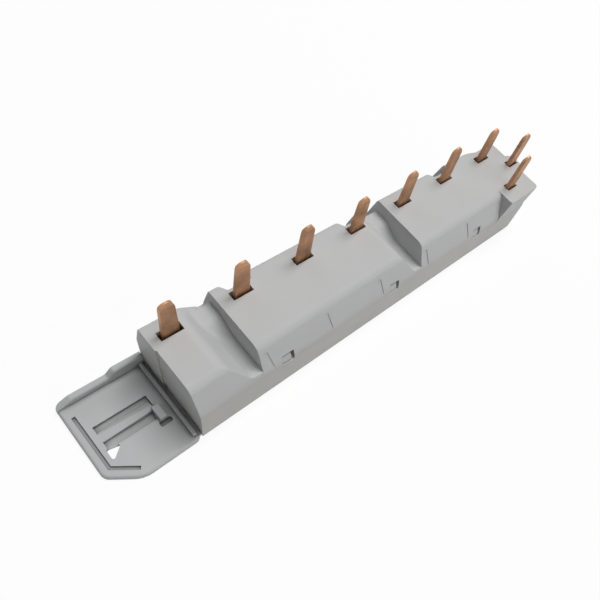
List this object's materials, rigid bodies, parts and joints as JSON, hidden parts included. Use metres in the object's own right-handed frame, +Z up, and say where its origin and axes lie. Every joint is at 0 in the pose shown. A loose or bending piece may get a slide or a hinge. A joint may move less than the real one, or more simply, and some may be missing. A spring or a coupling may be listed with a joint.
{
  "type": "comb busbar",
  "caption": "Insulated comb busbar: stamped copper combs in a grey moulded housing, with contact blades in a row on top and a lap tray at one end.",
  "frame": {"origin": "in the plane the housing stands on, straight below the first contact blade of the row", "axes": "+X along the row of blades towards the end blades, +Y from the front to the back, +Z up along the blades"},
  "size_m": [0.1435, 0.0249, 0.0316],
  "materials": {
    "housing": "fine satin, light grey",
    "carrier": "fine satin, light grey",
    "copper": "bare copper, rolled, slightly toned",
    "insulation": "smooth sheet"
  },
  "bodies": {
    "root": {"housing_cover": "housing", "base_carrier": "carrier", "copper_comb_l1": "copper", "copper_comb_l2": "copper", "copper_comb_l3": "copper", "phase_barrier_back": "insulation", "phase_barrier_front": "insulation", "insulating_sheet": "insulation"}
  },
  "joints": []
}
